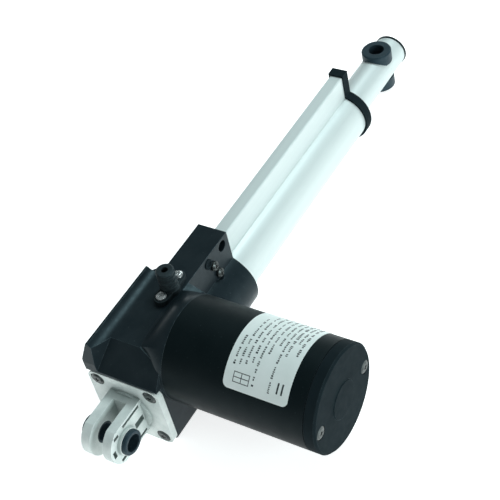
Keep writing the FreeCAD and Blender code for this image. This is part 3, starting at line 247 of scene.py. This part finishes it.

# each worn colour below is a lighter edge colour, partly wear and partly a painted edge highlight
FINISHES = {
    "casting_black": surface(
        "casting_black", (0.0100, 0.0165, 0.0205), (0.0160, 0.0235, 0.0280), (0.28, 0.40),
        specular=0.15, tint=BLUISH, grain=0.55, depth=0.011, waviness=0.03, bevel=0.45,
        worn_and_highlit_edge=(0.14, 0.19, 0.21), edge_wear_and_highlight=0.7, specks=(0.045, 0.06, 0.065),
    ),
    "cover_black": surface(
        "cover_black", (0.0045, 0.0084, 0.0096), (0.0068, 0.0112, 0.0126), (0.42, 0.50),
        specular=0.08, tint=BLUISH, patch=30, grain=1.6, depth=0.004, waviness=0.01, bevel=0.3,
        worn_and_highlit_edge=(0.05, 0.07, 0.08), edge_wear_and_highlight=0.5, specks=(0.025, 0.035, 0.037),
    ),
    "cap_black": surface(
        "cap_black", (0.0085, 0.0145, 0.0175), (0.0120, 0.0190, 0.0225), (0.58, 0.70),
        specular=0.03, tint=BLUISH, patch=18, grain=0.35, depth=0.006, bevel=0.4,
        worn_and_highlit_edge=(0.09, 0.12, 0.13), edge_wear_and_highlight=0.6,
    ),
    "clevis_alloy": surface(
        "clevis_alloy", (0.68, 0.745, 0.725), (0.82, 0.875, 0.85), (0.44, 0.60),
        metallic=0.1, patch=8, grain=0.7, depth=0.02, waviness=0.05, bevel=0.35,
        worn_and_highlit_edge=(0.95, 0.97, 0.96), edge_wear_and_highlight=1.0, specks=(0.30, 0.34, 0.34),
        # painted shade inside the fork and in the other hollows of the clevis
        painted_shade_colour=(0.20, 0.25, 0.24),
    ),
    "bush_plastic": surface(
        "bush_plastic", (0.014, 0.027, 0.036), (0.020, 0.036, 0.047), (0.42, 0.55),
        specular=0.3, tint=BLUISH, patch=6, grain=0.4, depth=0.006, bevel=0.4,
        worn_and_highlit_edge=(0.10, 0.14, 0.16), edge_wear_and_highlight=0.5,
    ),
    "tube_aluminium": surface(
        "tube_aluminium", (0.64, 0.71, 0.705), (0.69, 0.76, 0.75), (0.46, 0.56),
        metallic=0.25, patch=10, grain=0.25, depth=0.003, stretch=ALONG_X,
        bevel=0.5, worn_and_highlit_edge=(0.97, 0.99, 0.99), edge_wear_and_highlight=1.0,
    ),
    "gland_rubber": surface(
        "gland_rubber", (0.010, 0.014, 0.016), (0.017, 0.023, 0.026), (0.50, 0.68),
        specular=0.35, tint=BLUISH, patch=5, grain=0.3, depth=0.012, bevel=0.5,
        worn_and_highlit_edge=(0.06, 0.075, 0.08), edge_wear_and_highlight=0.5,
    ),
    "screw_bright": surface(
        "screw_bright", (0.70, 0.72, 0.72), (0.84, 0.86, 0.86), (0.20, 0.34),
        metallic=1.0, patch=2.5, grain=0.3, depth=0.004, bevel=0.3,
        worn_and_highlit_edge=(0.95, 0.96, 0.96), edge_wear_and_highlight=0.6,
    ),
    "screw_dark": surface(
        "screw_dark", (0.05, 0.058, 0.058), (0.10, 0.112, 0.11), (0.28, 0.44),
        metallic=0.85, patch=2.5, grain=0.3, depth=0.005, bevel=0.3,
        worn_and_highlit_edge=(0.24, 0.26, 0.255), edge_wear_and_highlight=0.6,
    ),
    "label_print": surface(
        "label_print", (0.79, 0.86, 0.84), (0.85, 0.91, 0.895), (0.34, 0.44),
        specular=0.4, patch=12, grain=0.5, depth=0.002, bevel=0.08,
    ),
    "seal_rubber": surface(
        "seal_rubber", (0.012, 0.013, 0.014), (0.022, 0.024, 0.026), (0.55, 0.7),
        specular=0.35, patch=4, grain=0.3, depth=0.01,
    ),
    "turned_steel": surface(
        "turned_steel", (0.52, 0.53, 0.54), (0.66, 0.67, 0.68), (0.20, 0.34),
        metallic=1.0, patch=6, grain=0.25, depth=0.004, stretch=ROUND_X,
        worn_and_highlit_edge=(0.85, 0.86, 0.87), edge_wear_and_highlight=0.5,
    ),
    "magnet_ferrite": surface(
        "magnet_ferrite", (0.035, 0.033, 0.033), (0.055, 0.052, 0.050), (0.5, 0.7),
        metallic=0.2, patch=5, grain=0.4, depth=0.02, worn_and_highlit_edge=(0.14, 0.13, 0.13), edge_wear_and_highlight=0.6,
    ),
    "copper": surface(
        "copper", (0.48, 0.17, 0.07), (0.62, 0.25, 0.11), (0.22, 0.36),
        metallic=0.9, coat=0.3, patch=3, grain=0.4, depth=0.03, bands=("X", 0.9, 0.3),
    ),
    "lamination_steel": surface(
        "lamination_steel", (0.30, 0.31, 0.32), (0.40, 0.41, 0.42), (0.35, 0.5),
        metallic=0.9, patch=4, grain=0.4, depth=0.02, bands=("Y", 0.6),
    ),
    "carbon": surface(
        "carbon", (0.022, 0.022, 0.024), (0.040, 0.040, 0.043), (0.45, 0.65),
        metallic=0.3, patch=2, grain=0.3, depth=0.02, worn_and_highlit_edge=(0.12, 0.12, 0.12), edge_wear_and_highlight=0.5,
    ),
    "board_green": surface(
        "board_green", (0.015, 0.11, 0.045), (0.022, 0.15, 0.062), (0.3, 0.42),
        coat=0.4, patch=6, grain=0.5, depth=0.01, bands=("X", 2.54),
    ),
    "switch_case": surface(
        "switch_case", (0.020, 0.021, 0.024), (0.034, 0.035, 0.038), (0.42, 0.55),
        patch=3, grain=0.3, depth=0.008, worn_and_highlit_edge=(0.10, 0.10, 0.11), edge_wear_and_highlight=0.4,
    ),
    "nut_plastic": surface(
        "nut_plastic", (0.55, 0.53, 0.46), (0.66, 0.64, 0.57), (0.42, 0.55),
        patch=6, grain=0.5, depth=0.008, worn_and_highlit_edge=(0.8, 0.78, 0.72), edge_wear_and_highlight=0.4,
    ),
    "wheel_plastic": surface(
        "wheel_plastic", (0.60, 0.58, 0.50), (0.72, 0.70, 0.62), (0.38, 0.5),
        patch=5, grain=0.4, depth=0.008, worn_and_highlit_edge=(0.85, 0.83, 0.76), edge_wear_and_highlight=0.4,
    ),
    "bush_white": surface(
        "bush_white", (0.70, 0.71, 0.70), (0.80, 0.81, 0.80), (0.4, 0.52),
        patch=5, grain=0.4, depth=0.006, worn_and_highlit_edge=(0.9, 0.9, 0.9), edge_wear_and_highlight=0.3,
    ),
    "brush_phenolic": surface(
        "brush_phenolic", (0.20, 0.085, 0.035), (0.28, 0.125, 0.055), (0.4, 0.55),
        patch=4, grain=0.4, depth=0.012, bands=("Y", 1.4, 1.5),
    ),
}


# ---------------------------------------------------------------- label print
def ring_point(axis, radius, angle, y):
    turn = math.radians(angle)
    return Vector((axis[0] + radius * math.cos(turn), y, axis[1] + radius * math.sin(turn)))


def curved_bar(mesh, axis, radii, angles, ends):
    """A closed bar bent round the barrel, between two radii, two angles and two ends."""
    steps = max(1, math.ceil(abs(angles[1] - angles[0]) / 4))
    rings = []
    for step in range(steps + 1):
        angle = angles[0] + (angles[1] - angles[0]) * step / steps
        (inner, outer), (near, far) = radii, ends
        corners = ((inner, near), (outer, near), (outer, far), (inner, far))
        rings.append([mesh.verts.new(ring_point(axis, r, angle, y)) for r, y in corners])
    for first, second in zip(rings, rings[1:]):
        for side in range(4):
            after = (side + 1) % 4
            mesh.faces.new((first[side], first[after], second[after], second[side]))
    mesh.faces.new(rings[0][::-1])
    mesh.faces.new(rings[-1])


# offset from the label's inner edge, height of the marks, first and last angle of each row
ROWS = [
    (3.6, 1.2, 92, 124),
    (6.7, 1.2, 60, 126),
    (9.8, 1.2, 50, 121),
    (12.9, 1.2, 40, 118),
    (16.0, 1.2, 40, 140),
    (19.1, 1.2, 38, 104),
    (22.2, 1.2, 38, 96),
    (25.0, 1.2, 38, 142),
    (27.7, 1.5, 38, 102),
    (30.3, 1.2, 38, 84),
    (32.8, 1.5, 38, 98),
]

# the plain grid: angles of its lines round the barrel in degrees,
# offsets and widths in millimetres
GRID_ANGLES = (129.5, 134.5, 139.5)
GRID_LINE_ANGLE = 0.8
GRID_OFFSETS = (5.2, 9.5, 13.8)
GRID_HEIGHT = 9.0
GRID_LINE = 0.4
# the two plain bars
BAR_ANGLES = (127.0, 138.0)
BAR_OFFSETS = (29.5, 32.0)
BAR_HEIGHT = 0.9


def label_marks():
    """Rows of short dashes in place of print, a plain grid and two plain bars."""
    rng = random.Random(11)
    cover_low, cover_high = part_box("motor_cover")
    low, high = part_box("rating_label")
    axis = ((cover_low.x + cover_high.x) / 2, (cover_low.z + cover_high.z) / 2)
    top = high.z - axis[1]
    radii = (top - 0.03 * MM, top + 0.02 * MM)
    inner_edge = high.y
    mesh = bmesh.new()

    def bar(angles, offset, height):
        middle = inner_edge - offset * MM
        curved_bar(mesh, axis, radii, angles, (middle - height / 2 * MM, middle + height / 2 * MM))

    for offset, height, first, last in ROWS:
        angle = first
        while angle < last:
            for mark in range(rng.randint(2, 6)):
                width = rng.uniform(1.0, 1.9)
                tall = height * rng.uniform(0.55, 1.0)
                if angle + width < last:
                    bar((angle, angle + width), offset + rng.uniform(-0.1, 0.1), tall)
                angle += width + 0.75
            angle += rng.uniform(1.6, 3.6)

    for angle in GRID_ANGLES:
        bar((angle, angle + GRID_LINE_ANGLE), GRID_OFFSETS[1], GRID_HEIGHT)
    for offset in GRID_OFFSETS:
        bar((GRID_ANGLES[0], GRID_ANGLES[-1] + GRID_LINE_ANGLE), offset, GRID_LINE)
    for offset in BAR_OFFSETS:
        bar(BAR_ANGLES, offset, BAR_HEIGHT)

    bmesh.ops.recalc_face_normals(mesh, faces=mesh.faces)
    data = bpy.data.meshes.new("label_marks")
    mesh.to_mesh(data)
    mesh.free()
    marks = bpy.data.objects.new("label_marks", data)
    bpy.context.scene.collection.objects.link(marks)
    data.materials.append(
        surface(
            "label_ink", (0.030, 0.038, 0.040), (0.060, 0.072, 0.075), (0.45, 0.6),
            specular=0.3, patch=3, grain=0.4, depth=0.002, bevel=0.02,
        )
    )
    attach(marks, "housing")
    return marks


# ---------------------------------------------------------------- stage
def stage():
    """A plain pale floor under the actuator."""
    mesh = bmesh.new()
    bmesh.ops.create_grid(mesh, x_segments=8, y_segments=8, size=FLOOR_HALF_WIDTH)
    data = bpy.data.meshes.new("floor")
    mesh.to_mesh(data)
    mesh.free()
    floor = bpy.data.objects.new("floor", data)
    bpy.context.scene.collection.objects.link(floor)
    floor.location = (0.15, 0, cad_low.z - FLOOR_GAP)
    graph = Graph("floor_paper")
    tone = graph.mix(graph.noise(400), (0.86, 0.87, 0.87), (0.89, 0.90, 0.90))
    graph.link(tone, graph.shader.inputs["Base Color"])
    graph.shader.inputs["Roughness"].default_value = 0.9
    graph.shader.inputs["Emission Color"].default_value = (1, 1, 1, 1)
    graph.shader.inputs["Emission Strength"].default_value = FLOOR_GLOW
    data.materials.append(graph.material)


def area_light(name, offset, size, power, target):
    lamp = bpy.data.lights.new(name, "AREA")
    lamp.shape = "RECTANGLE"
    lamp.size, lamp.size_y = size
    lamp.energy = power
    lamp.color = LAMP_COLOUR
    thing = bpy.data.objects.new(name, lamp)
    bpy.context.scene.collection.objects.link(thing)
    thing.location = target + Vector(offset)
    thing.rotation_euler = (-Vector(offset)).to_track_quat("-Z", "Y").to_euler()


def lights():
    centre = (cad_low + cad_high) / 2
    for name, offset, size, power in LAMPS:
        area_light(name, offset, size, power, centre)
    world = bpy.data.worlds.new("studio")
    bpy.context.scene.world = world
    world.use_nodes = True
    background = world.node_tree.nodes["Background"]
    background.inputs["Color"].default_value = WORLD_COLOUR
    background.inputs["Strength"].default_value = WORLD_STRENGTH


def camera():
    """The photographer's place: over the clevis end, turned a little clockwise."""
    data = bpy.data.cameras.new("camera")
    data.lens = LENS
    data.sensor_width = SENSOR_WIDTH
    thing = bpy.data.objects.new("camera", data)
    bpy.context.scene.collection.objects.link(thing)
    turn = (CAMERA_TARGET - CAMERA_PLACE).to_track_quat("-Z", "Y").to_matrix().to_4x4()
    rolled = turn @ Matrix.Rotation(CAMERA_ROLL, 4, "Z")
    thing.matrix_world = Matrix.Translation(CAMERA_PLACE) @ rolled
    bpy.context.scene.camera = thing


# ---------------------------------------------------------------- build
for row in frame["record"]["subparts"]:
    data = frame["nodes"][row["node"]].data
    data.materials.clear()
    data.materials.append(FINISHES[row["material_slot"]])

label_marks()
stage()
lights()
camera()
bpy.context.scene.view_settings.view_transform = "Standard"
